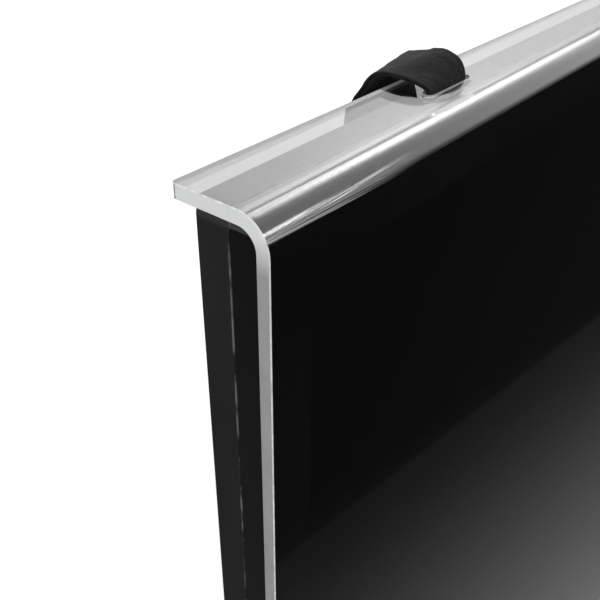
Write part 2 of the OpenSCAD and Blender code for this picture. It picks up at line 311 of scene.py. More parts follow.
def mark_cut_faces(mesh, settings):
    """Gives the faces that a saw or router left their own finishes, by where they lie and
    which way they face: 0 polished face, 1 cut edge, 2 eased arris with a painted highlight,
    which the cut ends' borders also take as painted highlight lines."""
    count = len(mesh.polygons)
    normal, centre = np.empty(count * 3), np.empty(count * 3)
    mesh.polygons.foreach_get("normal", normal)
    mesh.polygons.foreach_get("center", centre)
    normal, centre = np.abs(normal.reshape(-1, 3)), centre.reshape(-1, 3)
    near = 0.02 * MM
    end = (normal[:, 0] > 0.9) & (np.abs(centre[:, 0]) > SHEET_HIGH[0] - near)
    foot = (normal[:, 2] > 0.9) & (centre[:, 2] < SHEET_LOW[2] + near)
    in_lip = centre[:, 2] > LIP_TOP - SHEET_T + near
    across = np.abs(np.abs(centre[:, 0]) - strap_x("right"))
    slot = in_lip & (normal[:, 2] < 0.3) & (across < settings.slot_length / 2 + near) \
        & (np.abs(centre[:, 1] - SLOT_Y) < settings.slot_width / 2 + near)
    steep = np.sort(normal, axis=1)
    arris = (steep[:, 1] > 0.6) & (steep[:, 2] < 0.8)
    ease = 1.2 * settings.chamfer
    rim = (np.abs(centre[:, 0]) > SHEET_HIGH[0] - ease) | (centre[:, 1] > SHEET_HIGH[1] - ease) \
        | (centre[:, 2] < SHEET_LOW[2] + ease)
    round_corner = (normal[:, 0] > 0.05) & (normal[:, 0] < 0.95) \
        & (np.abs(centre[:, 0]) > SHEET_HIGH[0] - settings.foot_corner)
    outer_r = settings.bend_r + SHEET_T
    y, z = centre[:, 1] - SHEET_LOW[1], LIP_TOP - centre[:, 2]
    depth = np.where(z > outer_r, y, np.where(
        y > outer_r, z, outer_r - np.hypot(y - outer_r, z - outer_r)))
    border = end & (np.abs(depth / SHEET_T - 0.5) > 0.5 - BORDER_SHARE)
    back = (normal[:, 1] > 0.9) & (centre[:, 1] > SHEET_HIGH[1] - near)
    finish = np.zeros(count, np.int32)
    finish[end | foot | back | slot | round_corner] = 1
    # Painted highlight: the eased arrises and the cut ends' thin borders take the near-white eased
    # finish as bright edge lines.
    finish[(arris & rim & ~slot) | border] = 2
    mesh.polygons.foreach_set("material_index", finish)


def swept_sheet(settings):
    """Points and faces of the sheet before it is cut: its outline swept from end to end, drawn
    in by the chamfer at both ends. Four lines from foot to lip close each end by three strips:
    a border, the middle and a border. A point of an inner line is the outer point times one
    less the share, plus the inner point times the share."""
    outer, inner = sheet_outline(SHEET_T, settings.bend_r, settings.chamfer)
    n = len(outer)
    share = np.array([BORDER_SHARE, 1 - BORDER_SHARE])[:, None]
    loop = np.vstack([outer, outer[-1] * (1 - share) + inner[-1] * share, inner[::-1],
                      (outer[0] * (1 - share) + inner[0] * share)[::-1]])
    total = len(loop)
    small = inset_loop(loop, settings.chamfer)
    half = SHEET_HIGH[0]
    ends = [-half, -half + settings.chamfer, half - settings.chamfer, half]
    verts = np.vstack([np.column_stack([np.full(total, x), p])
                       for x, p in zip(ends, [small, loop, loop, small])])
    faces = grid_faces(4, total, around=True).tolist()
    rows = small[1:n - 1] * (1 - share[:, :, None]) + small[2 * n:n + 2:-1] * share[:, :, None]
    for start, x, turn in ((0, ends[0], 1), (3 * total, ends[3], -1)):
        new = len(verts) + np.arange(2 * n - 4).reshape(2, -1)
        extra = np.column_stack([np.full(new.size, x), rows.reshape(-1, 2)])
        verts = np.vstack([verts, extra])
        lines = [start + np.arange(n),
                 np.hstack([start + 2 * n + 3, new[0], start + n]),
                 np.hstack([start + 2 * n + 2, new[1], start + n + 1]),
                 start + 2 * n + 1 - np.arange(n)]
        for a, b in zip(lines, lines[1:]):
            faces += np.column_stack([a[:-1], a[1:], b[1:], b[:-1]])[:, ::turn].tolist()
    return verts, faces


class GuardSheetSettings(bpy.types.PropertyGroup):
    bend_r: length("Bend radius", "Radius on the inside of the bend", BEND_R, 2 * MM)
    chamfer: length(
        "Eased edge", "Width of the small chamfer on the cut edges", 0.35 * MM, 0.05 * MM)
    slot_length: length("Slot length", "Length of each strap slot along the lip", 28 * MM)
    slot_width: length("Slot width", "Width of each strap slot, front to back", 4 * MM)
    lip_corner: length("Lip corner", "Radius of the lip's two rear corners", 2.5 * MM)
    foot_corner: length("Lower corner", "Radius of the sheet's lower corners", 8 * MM)
    tint: bpy.props.FloatVectorProperty(
        name="Tint", description="What the clear sheet lets through",
        default=(0.975, 0.982, 0.98), subtype="COLOR", size=3, min=0, max=1)


class GUARD_OT_sheet(bpy.types.Operator):
    """Builds the bent clear sheet with its slots and eased edges"""
    bl_idname = "guard.sheet"
    bl_label = "Clear sheet"

    def execute(self, context):
        settings = context.scene.guard_sheet
        sheet = make_object("clear_sheet", *swept_sheet(settings))
        face_outwards(sheet)
        cutter = make_object("sheet_cutter", *cutters(settings))
        face_outwards(cutter)
        cut = sheet.modifiers.new("slots", "BOOLEAN")
        cut.operation, cut.solver, cut.object = "DIFFERENCE", "EXACT", cutter
        apply_modifiers(sheet)
        bpy.data.objects.remove(cutter)
        sheet.data.materials.clear()
        for material in (clear_acrylic(settings.tint), cut_acrylic(), eased_acrylic()):
            sheet.data.materials.append(material)
        mark_cut_faces(sheet.data, settings)
        sheet.data.polygons.foreach_set("use_smooth", np.ones(len(sheet.data.polygons), bool))
        sheet.data.set_sharp_from_angle(angle=math.radians(20))
        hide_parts("guard_sheet")
        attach(sheet, "guard")
        return {"FINISHED"}


# ---------------------------------------------------------------- straps

# The middle of the webbing at its outer and inner edge, in mm behind the slot and above the
# lip's top face. Both edges share the run behind the panel and up through the slot, where the
# first number is a share of the way back to the pad. Over the lip the inner edge stands
# higher, so the slack loop has a twist.
RISING = [(1, -161.5), (1, -110), (1, -60), (1, -25), (0.98, -16.5), (0.8, -11.1),
          (0.45, -9.5), (0.13, -8.0), (0, -4.3)]
OUTER_EDGE = [(0, -1.1), (1.3, 0.9), (5.1, 2.1), (10.2, 2.8), (14.7, 3.0), (18.9, 2.8),
              (22.9, 1.7), (26.0, -0.9), (29.2, -5.5), (32.6, -10.6), (35.2, -16.5),
              (35.9, -25.0), (32.5, -38.0), (25.3, -51.5), (18.0, -64.5), (13.0, -75.5)]
INNER_EDGE = [(0, -0.3), (1.1, 3.5), (4.1, 6.5), (8.4, 7.9), (12.9, 7.3), (17.6, 5.4),
              (23.0, 4.0), (28.0, 2.2), (29.4, -3.0), (26.0, -9.3), (22.0, -16.5),
              (19.5, -25.5), (18.5, -37.5), (17.0, -51.5), (15.3, -64.5), (13.2, -75.5)]
# How far the inner edge is askew at each of those points, in mm towards the panel's middle.
INNER_ASKEW = [0, 0, 0, 0, 0, 1.2, 2.8, 4, 4.4, 4, 3.4, 2.6, 1.6, 0.7, 0.2, 0]
# The share of the left strap's twist and flare that the right strap has.
RIGHT_TWIST = 0.45
# Distance between the webbing's grid points, in mm.
PITCH = 0.5
# The pile's three noises: step in the seed, grid points to a cell along and across, share.
PILE_SCALES = ((0, 2, 2, 0.35), (2, 5, 5, 0.4), (4, 16, 12, 0.5))
# The strap's loop ends, and its loose end starts, this far above the hinge.
TAIL_BEND = 3 * MM
HAIR_R = 0.022 * MM
LINT_LENGTH, LINT_R = 2.2 * MM, 0.05 * MM


def spline(points, per_step):
    """A smooth curve through points: between each pair a cubic whose slopes at the points are
    half the step from the point before to the point after."""
    p = np.asarray(points, float)
    p = np.vstack([2 * p[0] - p[1], p, 2 * p[-1] - p[-2]])
    out = []
    for i, count in enumerate(per_step):
        t = (np.arange(count) / count)[:, None]
        a, b, c, d = p[i], p[i + 1], p[i + 2], p[i + 3]
        out.append(0.5 * (2 * b + (c - a) * t + (2 * a - 5 * b + 4 * c - d) * t ** 2
                          + (3 * b - a - 3 * c + d) * t ** 3))
    return np.vstack(out + [p[-2][None]])


def strap_edges(side):
    """The two edge routes of one strap, in metres, from behind the panel to the hinge: how far
    the edge is askew towards the panel's middle, then Y and Z. They have as many points each,
    about half a millimetre apart."""
    hinge = hinge_place(side)
    anchor = (corners(f"loop_pad_{side}")[1][1] + HANG_GAP + STRAP_T / 2 - SLOT_Y) / MM
    first = [(0, anchor * share, z) for share, z in RISING]
    last = [(0, (hinge[1] - SLOT_Y) / MM, (hinge[2] - LIP_TOP) / MM + TAIL_BEND / MM)]
    edges = np.dstack([[np.zeros(len(INNER_ASKEW)), INNER_ASKEW],
                       np.array([OUTER_EDGE, INNER_EDGE])[..., 0],
                       np.array([OUTER_EDGE, INNER_EDGE])[..., 1]])
    if side == "right":
        edges = edges.mean(axis=0) + RIGHT_TWIST * (edges - edges.mean(axis=0))
    middle = [np.vstack([first, edge, last]) for edge in edges]
    steps = np.linalg.norm(np.diff(np.mean(middle, axis=0), axis=0), axis=1)
    counts = np.maximum(2, np.round(steps / PITCH)).astype(int)
    return [spline(m, counts) * MM + [0, SLOT_Y, LIP_TOP] for m in middle]


def band(name, outer, inner, x, sign, pile, seed):
    """A strip of webbing. Its middle surface runs between two edge routes with as many points,
    and its two faces stand off that surface by half the thickness, less at the selvages, plus
    the pile: noise at three scales. The pile fades out at the strip's two ends."""
    count = len(outer)
    across = int(round(STRAP_W / MM / PITCH)) + 1
    u = np.linspace(-0.5, 0.5, across)
    share = (u + 0.5)[None, :, None]
    share = share * share * (3 - 2 * share) * 0.5 + share * 0.5
    middle = outer[:, None] * (1 - share) + inner[:, None] * share
    wander = 0.25 * MM * soft_noise((count, 2), (max(2, count // 16), 1), seed + 9)
    wander = wander[:, :1] * (0.5 - u) + wander[:, 1:] * (0.5 + u)
    middle[..., 0] = x - sign * (middle[..., 0] + u[None, :] * STRAP_W + wander)
    normal = np.cross(np.gradient(middle, axis=0), np.gradient(middle, axis=1))
    normal *= sign / np.linalg.norm(normal, axis=2, keepdims=True)
    selvage = np.clip((0.5 - np.abs(u)) * STRAP_W / (STRAP_T * 0.5), 0.0, 1.0)
    half = STRAP_T / 2 * np.sqrt(1 - (1 - selvage) ** 2 * 0.85)[None, :]
    ends = np.clip(np.minimum(np.arange(count), np.arange(count)[::-1]) / 3, 0, 1)[:, None]
    faces_out = []
    for face, way in enumerate((1, -1)):
        rough = sum(soft_noise((count, across), (count // down, across // over),
                               seed + face + more) * part
                    for more, down, over, part in PILE_SCALES)
        rough *= np.minimum(selvage + 0.3, 1)[None, :]
        lift = half + pile * rough * ends
        faces_out.append(middle + way * normal * lift[..., None])
    loop = np.concatenate([faces_out[0], faces_out[1][:, ::-1]], axis=1)
    total = 2 * across
    verts = loop.reshape(-1, 3)
    faces = grid_faces(count, total, around=True).tolist()
    i = np.arange(across - 1)
    cap = np.column_stack([i, i + 1, total - 2 - i, total - 1 - i])
    faces += cap.tolist() + (cap[:, ::-1] + (count - 1) * total).tolist()
    strip = make_object(name, verts, faces)
    face_outwards(strip)
    along = np.concatenate([[0], np.cumsum(np.linalg.norm(np.diff(outer, axis=0), axis=1))])
    place = np.stack(np.broadcast_arrays(np.concatenate([u, u[::-1]])[None] * STRAP_W,
                                         along[:, None]), axis=-1).reshape(-1, 2)
    layer = strip.data.uv_layers.new(name="strip")
    corner = np.empty(len(strip.data.loops), np.int32)
    strip.data.loops.foreach_get("vertex_index", corner)
    layer.data.foreach_set("uv", place[corner].ravel())
    return strip, faces_out[0], normal


def fibres(name, roots, directions, length, radius, seed):
    """Short curved hairs: each a tube of three sides and four rings that leaves its root along
    its direction, leans over with the square of the way along it, and closes at both ends."""
    rng = np.random.default_rng(seed)
    count = len(roots)
    t = np.linspace(0, 1, 4)
    lean = rng.normal(0, 1, (count, 3))
    lean -= np.sum(lean * directions, axis=1, keepdims=True) * directions
    lean /= np.linalg.norm(lean, axis=1, keepdims=True)
    size = length * rng.uniform(0.4, 1.0, (count, 1, 1))
    line = roots[:, None] + size * (directions[:, None] * (t - 0.35 * t ** 2)[None, :, None]
                                    + lean[:, None] * (0.9 * t ** 2)[None, :, None])
    side = np.cross(directions, lean)
    turn = np.arange(3) * 2 * math.pi / 3
    ring = (np.cos(turn)[None, None, :, None] * side[:, None, None]
            + np.sin(turn)[None, None, :, None] * lean[:, None, None])
    taper = (1 - 0.6 * t)[None, :, None, None]
    return make_object(name, *closed_tubes(line[:, :, None] + radius * taper * ring))


class StrapSettings(bpy.types.PropertyGroup):
    pile: length("Pile", "How far the brushed loops stand out of the webbing", 0.2 * MM)
    hairs: bpy.props.IntProperty(
        name="Loose hairs", description="Loose fibres on each strap", default=1500, min=0)
    lint: bpy.props.IntProperty(
        name="Lint", description="Pale specks of lint on each strap", default=40, min=0)
    hair_length: length("Hair length", "Length of the longest loose fibre", 1.1 * MM)
    thread: length("Thread", "Diameter of the sewing thread", 0.45 * MM, 0.1 * MM)
    hook_pitch: length(
        "Hook pitch", "Distance between the hooks of the hook tape", 1.7 * MM, 0.8 * MM)
    colour: bpy.props.FloatVectorProperty(
        name="Webbing colour", description="Colour of the brushed webbing",
        default=(0.006, 0.006, 0.0064), subtype="COLOR", size=3, min=0, max=1)


class GUARD_OT_strap_loops(bpy.types.Operator):
    """Builds the standing part of each strap, with its twist and brushed pile"""
    bl_idname = "guard.strap_loops"
    bl_label = "Strap loops"

    def execute(self, context):
        settings = context.scene.guard_straps
        webbing, dust = brushed_webbing(settings.colour), grey_lint()
        for side, sign in SIDES.items():
            outer, inner = strap_edges(side)
            strip, face, normal = band(f"strap_webbing_{side}", outer, inner, strap_x(side),
                                       sign, settings.pile, 20 + sign)
            strip.data.materials.append(webbing)
            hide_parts(f"strap_loop_{side}")
            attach(strip, "guard")
            rng = np.random.default_rng(50 + sign)
            pick = rng.integers(0, face.shape[0] * face.shape[1], settings.hairs)
            out = normal.reshape(-1, 3)[pick] + rng.normal(0, 0.5, (settings.hairs, 3))
            out /= np.linalg.norm(out, axis=1, keepdims=True)
            hairs = fibres(f"strap_hairs_{side}", face.reshape(-1, 3)[pick], out,
                           settings.hair_length, HAIR_R, 70 + sign)
            hairs.data.materials.append(webbing)
            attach(hairs, "guard")
            rows, columns = face.shape[:2]
            over_lip = rng.integers(int(0.45 * rows), int(0.8 * rows), settings.lint)
            pick = over_lip * columns + rng.integers(0, columns, settings.lint)
            lint = fibres(f"strap_lint_{side}", face.reshape(-1, 3)[pick],
                          normal.reshape(-1, 3)[pick], LINT_LENGTH, LINT_R, 80 + sign)
            lint.data.materials.append(dust)
            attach(lint, "guard")
        return {"FINISHED"}


class GUARD_OT_strap_tails(bpy.types.Operator):
    """Builds the loose end of each strap, straight down from a little above its hinge"""
    bl_idname = "guard.strap_tails"
    bl_label = "Strap tails"

    def execute(self, context):
        settings = context.scene.guard_straps
        webbing = brushed_webbing(settings.colour)
        for side, sign in SIDES.items():
            hinge = hinge_place(side)
            low, high = corners(f"strap_tail_{side}")[0][2], hinge[2] + TAIL_BEND
            z = np.linspace(high, low, int((high - low) / MM / PITCH))
            route = np.column_stack([np.zeros(len(z)), np.full(len(z), hinge[1]), z])
            strip = band(f"strap_end_{side}", route, route, strap_x(side), sign,
                         settings.pile, 30 + sign)[0]
            strip.data.materials.append(webbing)
            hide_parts(f"strap_tail_{side}")
            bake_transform(strip)
        return {"FINISHED"}


def tube_along(paths, radius, sides):
    """Closed tubes along many short paths at once, each path a row of points: at each point a
    ring of the given sides square to the path."""
    step = np.gradient(paths, axis=1)
    step /= np.linalg.norm(step, axis=2, keepdims=True)
    side = np.cross(step, [0.3, 0.1, 0.95])
    side /= np.linalg.norm(side, axis=2, keepdims=True)
    up = np.cross(step, side)
    turn = np.arange(sides) * 2 * math.pi / sides
    ring = (np.cos(turn)[:, None] * side[:, :, None] + np.sin(turn)[:, None] * up[:, :, None])
    return closed_tubes(paths[:, :, None] + radius[..., None, None] * ring)


# The hook tape's bare margin, its hooks' radius at mid length and how far they reach over.
TAPE_MARGIN, HOOK_R, HOOK_REACH = 0.8 * MM, 0.1 * MM, 0.42 * MM
# The share of the hook tape's thickness that is hooks.
HOOK_SHARE = 0.45
# The height of a sewn bar.
BAR_H = 2.4 * MM


class GUARD_OT_hook_tape(bpy.types.Operator):
    """Builds the hook tape on the inside of each strap's loose end: a plate with rows of hooks,
    each rising by a sine and leaning over by a cosine, up in one row and down in the next"""
    bl_idname = "guard.hook_tape"
    bl_label = "Hook tape"

    def execute(self, context):
        settings = context.scene.guard_straps
        plastic = hook_plastic()
        for side in SIDES:
            low, high = corners(f"hook_patch_{side}")
            back = low[1] + HOOK_SHARE * (high[1] - low[1])
            first, last = low[[0, 2]] + TAPE_MARGIN, high[[0, 2]] - TAPE_MARGIN
            columns, rows = (int(room / settings.hook_pitch) + 1 for room in last - first)
            x, z = np.meshgrid(np.linspace(first[0], last[0], columns),
                               np.linspace(first[1], last[1], rows))
            lean = np.where(np.arange(rows) % 2, 1.0, -1.0)[:, None] * np.ones_like(x)
            t = np.linspace(0, 1, 6)
            rise = (back - low[1]) * np.sin(t * math.pi * 0.62)
            curl = HOOK_REACH * (1 - np.cos(t * math.pi * 0.8)) / 2
            paths = np.stack(np.broadcast_arrays(
                x.ravel()[:, None], back - rise[None],
                z.ravel()[:, None] + lean.ravel()[:, None] * curl[None]), axis=-1)
            hooks = tube_along(paths, HOOK_R * (1.25 - 0.5 * t), 4)
            outline = rounded_rect((low[[0, 2]] + high[[0, 2]]) / 2,
                                   high[[0, 2]] - low[[0, 2]], 1.0 * MM)
            plate = stacked([outline] * 2, [back, high[1]], in_front_view)
            tape = make_object(f"hook_tape_{side}", *join_parts([plate, hooks]), smooth=False)
            face_outwards(tape)
            tape.data.materials.append(plastic)
            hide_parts(f"hook_patch_{side}")
            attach(tape, f"tail_{side}")
        return {"FINISHED"}


class GUARD_OT_stitching(bpy.types.Operator):
    """Sews the bars that hold the hook tape: a zigzag of short stitches in each bar"""
    bl_idname = "guard.stitching"
    bl_label = "Stitching"

    def execute(self, context):
        settings = context.scene.guard_straps
        thread = sewing_thread()
        r = settings.thread / 2
        for side in SIDES:
            low, high = corners(f"tail_stitching_{side}")
            stitches = []
            for z0 in (low[2], high[2] - BAR_H):
                count = int((high[0] - low[0]) / (settings.thread * 1.25))
                x = np.linspace(low[0], high[0] - settings.thread, count)
                slant = np.where(np.arange(count) % 2, 1.0, -1.0)
                t = np.linspace(0, 1, 7)
                dip = 0.8 * r * (1 - np.sin(t * math.pi)) + 0.1 * r
                stitches.append(np.stack(np.broadcast_arrays(
                    x[:, None] + settings.thread * (0.5 + 0.45 * slant[:, None] * (t - 0.5)[None]),
                    low[1] + 0.6 * r - dip[None] + 0.15 * r,
                    z0 + BAR_H * t[None]), axis=-1))
            paths = np.concatenate(stitches)
            rings = r * np.array([0.5, 0.85, 1, 1, 1, 0.85, 0.5])
            sewn = make_object(f"sewn_bars_{side}", *tube_along(paths, rings, 6))
            face_outwards(sewn)
            sewn.data.materials.append(thread)
            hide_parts(f"tail_stitching_{side}")
            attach(sewn, f"tail_{side}")
        return {"FINISHED"}


# The loop pads' corner radius, how far the pile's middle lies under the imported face, how far
# its rim and the row within the rim drop, and the points of its grid.
PAD_R, PAD_SINK, PAD_RIM, PAD_SHOULDER = 3 * MM, 0.25 * MM, 0.5 * MM, 0.15 * MM
PAD_ROWS, PAD_COLUMNS = 160, 58


def pad_mesh(low, high, pile, sign):
    """Points and faces of a pad between its lowest and highest corner: a grid whose points past
    a corner's centre are pulled in to the radius, raised by the pile times smooth and fine
    noise, with a wall down to the cover and a face under it."""
    middle, half = (low + high) / 2, (high - low)[[0, 2]] / 2
    shape = PAD_ROWS, PAD_COLUMNS
    across, up = np.meshgrid(np.linspace(-half[0], half[0], PAD_COLUMNS),
                             np.linspace(-half[1], half[1], PAD_ROWS))
    top = np.stack([across, up], axis=-1)
    past = np.maximum(np.abs(top) - (half - PAD_R), 0)
    away = np.linalg.norm(past, axis=-1, keepdims=True)
    pull = np.minimum(1, PAD_R / np.maximum(away, PAD_R))
    top = np.sign(top) * (np.minimum(np.abs(top), half - PAD_R) + past * pull)
    row, column = np.arange(PAD_ROWS)[:, None], np.arange(PAD_COLUMNS)
    edge = np.minimum(np.minimum(row, row[::-1]), np.minimum(column, column[::-1]))
    rng = np.random.default_rng(90 + sign)
    pile_height = pile * (0.7 * soft_noise(shape, (52, 18), 70 + sign)
                          + rng.uniform(-0.3, 0.3, shape))
    height = high[1] - low[1] - PAD_SINK - PAD_RIM * (edge == 0) \
        - PAD_SHOULDER * (edge == 1) + pile_height * (edge > 0)
    verts = np.column_stack([middle[0] + top[..., 0].ravel(), low[1] + height.ravel(),
                             middle[2] + top[..., 1].ravel()])
    index = np.arange(PAD_ROWS * PAD_COLUMNS).reshape(shape)
    rim = np.concatenate([index[0, :-1], index[:-1, -1], index[-1, :0:-1], index[:0:-1, 0]])
    foot = verts[rim].copy()
    foot[:, 1] = low[1]
    under = len(verts) + np.arange(len(rim))
    faces = grid_faces(PAD_ROWS, PAD_COLUMNS).tolist()
    faces += np.stack([rim, under, np.roll(under, -1), np.roll(rim, -1)], axis=-1).tolist()
    faces.append(under.tolist())
    return np.vstack([verts, foot]), faces


class GUARD_OT_loop_pads(bpy.types.Operator):
    """Builds the brushed pads on the rear cover"""
    bl_idname = "guard.loop_pads"
    bl_label = "Loop pads"

    def execute(self, context):
        settings = context.scene.guard_straps
        pile = brushed_webbing(settings.colour, name="loop_pile")
        for side, sign in SIDES.items():
            low, high = corners(f"loop_pad_{side}")
            pad = make_object(f"loop_pile_{side}", *pad_mesh(low, high, settings.pile, sign))
            face_outwards(pad)
            pad.data.materials.append(pile)
            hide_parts(f"loop_pad_{side}")
            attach(pad, "panel")
        return {"FINISHED"}


# ---------------------------------------------------------------- finishes

class Nodes:
    """A node tree with short names for the nodes that the finishes and the surround use."""

    def __init__(self, tree):
        self.tree = tree

    def feed(self, socket, value):
        """Links a socket to another one, or gives it a plain value."""
        if isinstance(value, bpy.types.NodeSocket):
            self.tree.links.new(value, socket)
        else:
            socket.default_value = value

    def add(self, kind, **inputs):
        """A new node with some of its inputs fed by name."""
        node = self.tree.nodes.new(kind)
        for key, value in inputs.items():
            self.feed(node.inputs[key], value)
        return node

    def math(self, how, *values):
        node = self.add("ShaderNodeMath")
        node.operation = how
        for socket, value in zip(node.inputs, values):
            self.feed(socket, value)
        return node.outputs[0]

    def times(self, first, *others):
        """The product of two or more values."""
        for other in others:
            first = self.math("MULTIPLY", first, other)
        return first

    def off(self, value, middle):
        """How far a value is from a middle one, either way."""
        return self.math("ABSOLUTE", self.math("SUBTRACT", value, middle))

    def map(self, value, low, high, to_low=0.0, to_high=1.0, smooth=False):
        """A value's range mapped to another, held at both ends, along a line or a smooth step."""
        node = self.add("ShaderNodeMapRange", Value=value)
        node.interpolation_type = "SMOOTHSTEP" if smooth else "LINEAR"
        for key, number in zip(("From Min", "From Max", "To Min", "To Max"),
                               (low, high, to_low, to_high)):
            node.inputs[key].default_value = number
        return node.outputs["Result"]

    def mix(self, share, first, second):
        """A blend of two numbers: the second takes the share."""
        return self.add("ShaderNodeMix", Factor=share, A=first, B=second).outputs["Result"]

    def mirror_share(self, path):
        """1 for a ray that a shiny face has turned back, at once or inside the sheet, else 0.
        Such a ray has more bounces than passes through a face."""
        turned = self.math("SUBTRACT", path["Ray Depth"], path["Transmission Depth"])
        return self.times(path["Is Glossy Ray"], self.math("GREATER_THAN", turned, 0.5))


class Shader(Nodes):
    """A material built round one shader node."""

    def __init__(self, name, **sockets):
        self.material = bpy.data.materials.new(name)
        self.material.use_nodes = True
        super().__init__(self.material.node_tree)
        self.surface = self.tree.nodes["Principled BSDF"]
        self.output = self.tree.nodes["Material Output"]
        self.use(**sockets)

    def place(self, scale=(1, 1, 1)):
        """The piece's own coordinates, stretched by scale."""
        where = self.add("ShaderNodeTexCoord").outputs["Object"]
        return self.add("ShaderNodeMapping", Vector=where, Scale=scale).outputs["Vector"]

    def noise(self, scale, detail=3.0, roughness=0.55, stretch=(1, 1, 1), vector=None):
        return self.add("ShaderNodeTexNoise", Vector=vector or self.place(stretch), Scale=scale,
                        Detail=detail, Roughness=roughness).outputs["Fac"]

    def cells(self, scale):
        node = self.add("ShaderNodeTexVoronoi", Vector=self.place(), Scale=scale)
        return node.outputs["Distance"]

    def ramp(self, value, *stops):
        """Colours at places along a value: each stop is a place and a grey or a colour."""
        node = self.add("ShaderNodeValToRGB", Fac=value)
        ramp = node.color_ramp
        while len(ramp.elements) < len(stops):
            ramp.elements.new(0.5)
        for element, (at, colour) in zip(ramp.elements, stops):
            colour = colour if hasattr(colour, "__len__") else (colour,) * 3
            element.position = at
            element.color = (*tuple(colour)[:3], 1)
        return node.outputs["Color"]

    def grey(self, red, green=None, blue=None):
        """A colour from one value, or from three."""
        return self.add("ShaderNodeCombineColor", Red=red, Green=green or red,
                        Blue=blue or red).outputs[0]

    def part(self, axis):
        """One coordinate of the piece's own place."""
        where = self.add("ShaderNodeTexCoord").outputs["Object"]
        return self.add("ShaderNodeSeparateXYZ", Vector=where).outputs[axis]

    def bump(self, height, distance, strength, under=None):
        node = self.add("ShaderNodeBump", Height=height, Distance=distance, Strength=strength)
        if under is not None:
            self.tree.links.new(under, node.inputs["Normal"])
        return node.outputs["Normal"]

    def see_through(self, share, colour):
        """Lets a share of the rays pass straight on, tinted by a colour."""
        clear = self.add("ShaderNodeBsdfTransparent", Color=(*colour, 1))
        mix = self.add("ShaderNodeMixShader", Fac=share)
        self.tree.links.new(self.surface.outputs[0], mix.inputs[1])
        self.tree.links.new(clear.outputs[0], mix.inputs[2])
        self.tree.links.new(mix.outputs[0], self.output.inputs["Surface"])

    def use(self, **inputs):
        """Feeds the shader's own inputs, named in small letters, and gives the material."""
        for key, value in inputs.items():
            name = key.replace("_", " ").title().replace("Ior", "IOR")
            self.feed(self.surface.inputs[name], value)
        return self.material


def clear_acrylic(tint):
    """Polished cast acrylic. Shadows pass through it.

    Heat has left the bend slightly hazy, with long faint ripples. At each end of the bend fine
    creases fan out from a point: they lie where noise on the height over the fan's spread, which
    grows with the distance from the end, crosses its middle value. The creases also carry painted
    highlights: there the sheet lets less through and shows its pale tint as thin bright lines.
    """
    s = Shader("clear_acrylic", base_color=(*tint, 1), ior=1.49)
    height = s.math("SUBTRACT", s.part("Z"), BEND_Z)

    def in_front(full, none, low=0.0):
        return s.map(s.part("Y"), SHEET_FRONT + full, SHEET_FRONT + none, 1.0, low)

    ripple = s.times(s.noise(260, detail=2.0, stretch=(0.035, 1, 1)),
                     s.map(s.off(height, 3 * MM), 4 * MM, 14 * MM, 1.0, 0.0),
                     in_front(9 * MM, 15 * MM, 0.12))
    reach = s.math("SUBTRACT", SHEET_END, s.off(s.part("X"), 0.0))
    spread = s.math("ADD", s.math("MULTIPLY", reach, 0.03), 0.6 * MM)
    fan = s.math("DIVIDE", s.math("SUBTRACT", height, 5.2 * MM), spread)
    place = s.add("ShaderNodeCombineXYZ", X=s.math("MULTIPLY", s.part("X"), 3), Y=fan).outputs[0]
    line = s.map(s.off(s.noise(3.4, detail=0.0, vector=place), 0.5), 0.02, 0.08, 1.0, 0.0)
    crease_and_glint = s.times(line, s.map(s.off(fan, 0.0), 0.8, 1.3, 1.0, 0.0),
                     s.map(reach, 30 * MM, 72 * MM, 1.0, 0.0),
                     s.map(height, 3.3 * MM, 4.3 * MM), in_front(3 * MM, 4.5 * MM))
    haze = s.times(s.map(height, 3 * MM, 8 * MM), in_front(9 * MM, 14 * MM))
    # Painted highlight: on the crease lines the sheet lets only a quarter through, so its pale tint
    # shows as bright glints.
    s.use(transmission_weight=s.map(crease_and_glint, 0, 1, 1.0, 0.25),
          roughness=s.map(haze, 0, 1, 0.0, 0.14),
          normal=s.bump(crease_and_glint, 0.06 * MM, 1.0, under=s.bump(ripple, 0.25 * MM, 0.12)))
    s.see_through(s.add("ShaderNodeLightPath").outputs["Is Shadow Ray"], tint)
    return s.material


def cut_acrylic():
    """The cut faces: pale where light gathers in the lip, greyer down the leg, with saw marks."""
    s = Shader("cut_acrylic", roughness=0.3, ior=1.49, specular_ior_level=0.6)
    marks = s.noise(900, detail=4.0, stretch=(1, 1, 0.08))
    blotch = s.noise(120, detail=2.0)
    glow = s.map(s.part("Z"), LIP_TOP - 17 * MM, LIP_TOP - 6 * MM, 0.0, 1.0)
    tone = s.math("ADD", s.map(glow, 0, 1, 0.37, 0.86),
                  s.math("MULTIPLY", s.math("SUBTRACT", blotch, 0.5), 0.12))
    colour = s.grey(s.math("MULTIPLY", tone, 0.985), tone, s.math("MULTIPLY", tone, 0.995))
    return s.use(base_color=colour, normal=s.bump(marks, 0.05 * MM, 0.25))


def eased_acrylic():
    """The narrow eased arrises, painted pale as the thin highlight lines they make where they catch
    the light.
    """
    s = Shader("eased_acrylic", ior=1.49, specular_ior_level=0.8)
    wear = s.noise(400, detail=3.0)
    # Painted highlight: a near-white colour on the clear arrises; the wear noise varies its
    # brightness and the roughness.
    return s.use(base_color=s.ramp(wear, (0.3, 0.62), (0.7, 0.95)),
                 roughness=s.map(wear, 0.3, 0.7, 0.12, 0.35))


